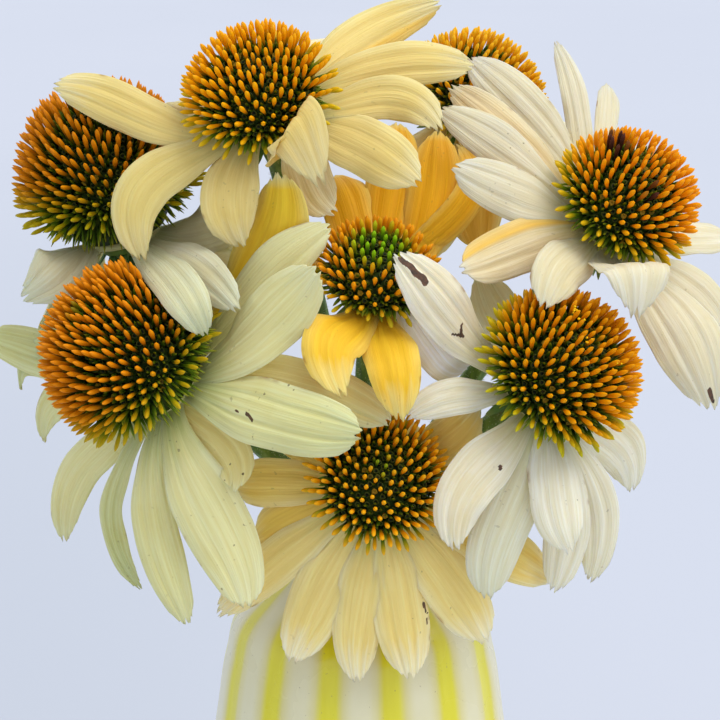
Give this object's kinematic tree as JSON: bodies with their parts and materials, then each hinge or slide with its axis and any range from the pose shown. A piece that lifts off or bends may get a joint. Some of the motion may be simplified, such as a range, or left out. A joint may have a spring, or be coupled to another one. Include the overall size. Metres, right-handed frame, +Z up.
{
  "type": "cut coneflowers in a vase",
  "caption": "Eight pale yellow coneflowers on bare stems in a small striped glazed vase with water.",
  "frame": {"origin": "middle of the vase's flat base, on the surface that it stands on", "axes": "+Z up along the vase's axis, -Y towards the viewer, +X to the viewer's right"},
  "size_m": [0.1667, 0.1141, 0.2656],
  "materials": {
    "vase_glaze": "gloss",
    "water": "clear",
    "cone": "matt",
    "stem": "matt",
    "yellow_cream_petal": "satin",
    "green_cream_petal": "satin",
    "pale_green_petal": "satin",
    "golden_petal": "satin",
    "cream_petal": "satin",
    "ivory_petal": "satin",
    "white_cream_petal": "satin",
    "peach_cream_petal": "satin"
  },
  "bodies": {
    "root": {"vase": "vase_glaze", "water": "water", "bloom_a_cone": "cone", "bloom_a_rays": "yellow_cream_petal", "bloom_a_stem": "stem", "bloom_b_cone": "cone", "bloom_b_rays": "green_cream_petal", "bloom_b_stem": "stem", "bloom_c_cone": "cone", "bloom_c_rays": "pale_green_petal", "bloom_c_stem": "stem", "bloom_d_cone": "cone", "bloom_d_rays": "golden_petal", "bloom_d_stem": "stem", "bloom_e_cone": "cone", "bloom_e_rays": "cream_petal", "bloom_e_stem": "stem", "bloom_f_cone": "cone", "bloom_f_rays": "ivory_petal", "bloom_f_stem": "stem", "bloom_g_cone": "cone", "bloom_g_rays": "white_cream_petal", "bloom_g_stem": "stem", "bloom_h_cone": "cone", "bloom_h_rays": "peach_cream_petal", "bloom_h_stem": "stem"}
  },
  "joints": []
}
